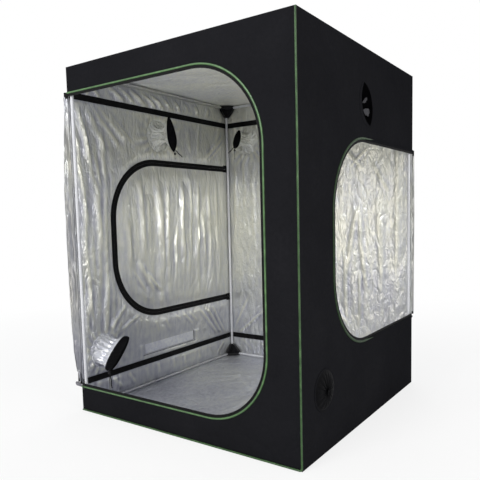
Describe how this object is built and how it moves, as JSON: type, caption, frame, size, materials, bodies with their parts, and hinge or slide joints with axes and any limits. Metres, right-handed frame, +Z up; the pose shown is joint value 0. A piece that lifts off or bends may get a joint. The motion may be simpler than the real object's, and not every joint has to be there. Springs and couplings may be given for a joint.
{
  "type": "indoor grow tent",
  "caption": "Tall square grow tent: black cloth cover lined with silver foil on a pole frame, zipped D-shaped doors and duct sleeves.",
  "frame": {"origin": "middle of the cover's footprint, on the ground under the cover's floor", "axes": "+Z up, -Y out of the front with the large door, +X to the right as seen from the front"},
  "size_m": [1.628, 1.5483, 2],
  "materials": {
    "black_cloth": "coated woven cloth, dull sheen",
    "silver_lining": "creased silver foil on cloth",
    "black_webbing": "matt woven tape",
    "green_piping": "satin woven binding",
    "white_pole": "glossy powder coat",
    "black_plastic": "moulded, fine grain",
    "sleeve_satin": "satin outside, silver inside",
    "black_cord": "braided",
    "zip_metal": "black enamel"
  },
  "bodies": {
    "root": {"connector_front_left_lower": "black_plastic", "connector_front_left_upper": "black_plastic", "connector_rear_left_lower": "black_plastic", "connector_rear_left_upper": "black_plastic", "connector_front_right_lower": "black_plastic", "connector_front_right_upper": "black_plastic", "connector_rear_right_lower": "black_plastic", "connector_rear_right_upper": "black_plastic", "post_front_left": "white_pole", "post_rear_left": "white_pole", "post_front_right": "white_pole", "post_rear_right": "white_pole", "floor_rail_front": "white_pole", "floor_rail_rear": "white_pole", "floor_rail_left": "white_pole", "floor_rail_right": "white_pole", "roof_rail_front": "white_pole", "roof_rail_rear": "white_pole", "roof_rail_left": "white_pole", "roof_rail_right": "white_pole", "roof_bar": "white_pole", "cover_front_wall": "black_cloth", "cover_rear_wall": "black_cloth", "cover_right_wall": "black_cloth", "cover_left_wall": "black_cloth", "cover_roof": "black_cloth", "cover_floor": "black_cloth", "floor_mat": "silver_lining", "front_door_fold": "silver_lining", "right_door_fold": "silver_lining", "upper_band": "black_webbing", "lower_band": "black_webbing", "front_zip_tape": "black_webbing", "right_zip_tape": "black_webbing", "left_zip_tape": "black_webbing", "front_doorway_piping": "green_piping", "right_doorway_piping": "green_piping", "left_doorway_piping": "green_piping", "front_piping": "green_piping", "duct_sleeve_left_upper": "sleeve_satin", "duct_sleeve_left_lower": "sleeve_satin", "duct_sleeve_rear_upper": "sleeve_satin", "duct_sleeve_right_upper": "sleeve_satin", "duct_sleeve_right_lower": "sleeve_satin", "drawcord_left_upper": "black_cord", "drawcord_left_lower": "black_cord", "drawcord_rear_upper": "black_cord"},
    "front_door": {"front_door": "silver_lining", "front_door_tape": "black_webbing"},
    "right_door": {"right_door": "silver_lining", "right_door_tape": "black_webbing"},
    "left_door": {"left_door": "silver_lining", "left_door_tape": "black_webbing"},
    "vent_flap": {"vent_flap": "silver_lining"},
    "front_slider": {"front_zip_slider": "zip_metal"},
    "right_slider": {"right_zip_slider": "zip_metal"},
    "left_slider": {"left_zip_slider": "zip_metal"},
    "lock_left_upper": {"cord_lock_left_upper": "black_plastic"},
    "lock_left_lower": {"cord_lock_left_lower": "black_plastic"},
    "lock_rear_upper": {"cord_lock_rear_upper": "black_plastic"}
  },
  "joints": [
    {"name": "front_door_hinge", "type": "hinge", "parent": "root", "child": "front_door", "pos_m": [-0.768, -0.768, 0], "axis": [0, 0, 1], "range_deg": [0, 270], "deforming": ["front_door_fold"]},
    {"name": "right_door_hinge", "type": "hinge", "parent": "root", "child": "right_door", "pos_m": [0.764, 0.764, 0], "axis": [0, 0, -1], "range_deg": [0, 270], "deforming": ["right_door_fold"]},
    {"name": "left_door_hinge", "type": "hinge", "parent": "root", "child": "left_door", "pos_m": [-0.71, 0.7, 0], "axis": [0, 0, 1], "range_deg": [0, 85]},
    {"name": "vent_flap_hinge", "type": "hinge", "parent": "root", "child": "vent_flap", "pos_m": [-0.7449, 0.02, 0.287], "axis": [0, -1, 0], "range_deg": [0, 170]},
    {"name": "front_zip_slide", "type": "slide", "parent": "root", "child": "front_slider", "axis": [1, 0, 0], "range_m": [0, 0.93]},
    {"name": "right_zip_slide", "type": "slide", "parent": "root", "child": "right_slider", "axis": [0, -1, 0], "range_m": [0, 0.745]},
    {"name": "left_zip_slide", "type": "slide", "parent": "root", "child": "left_slider", "axis": [0, -1, 0], "range_m": [0, 0.75]},
    {"name": "lock_slide_left_upper", "type": "slide", "parent": "root", "child": "lock_left_upper", "axis": [0, 0, -1], "range_m": [0, 0.024]},
    {"name": "lock_slide_left_lower", "type": "slide", "parent": "root", "child": "lock_left_lower", "axis": [0, 0, -1], "range_m": [0, 0.09]},
    {"name": "lock_slide_rear_upper", "type": "slide", "parent": "root", "child": "lock_rear_upper", "axis": [0, 0, -1], "range_m": [0, 0.05]}
  ]
}
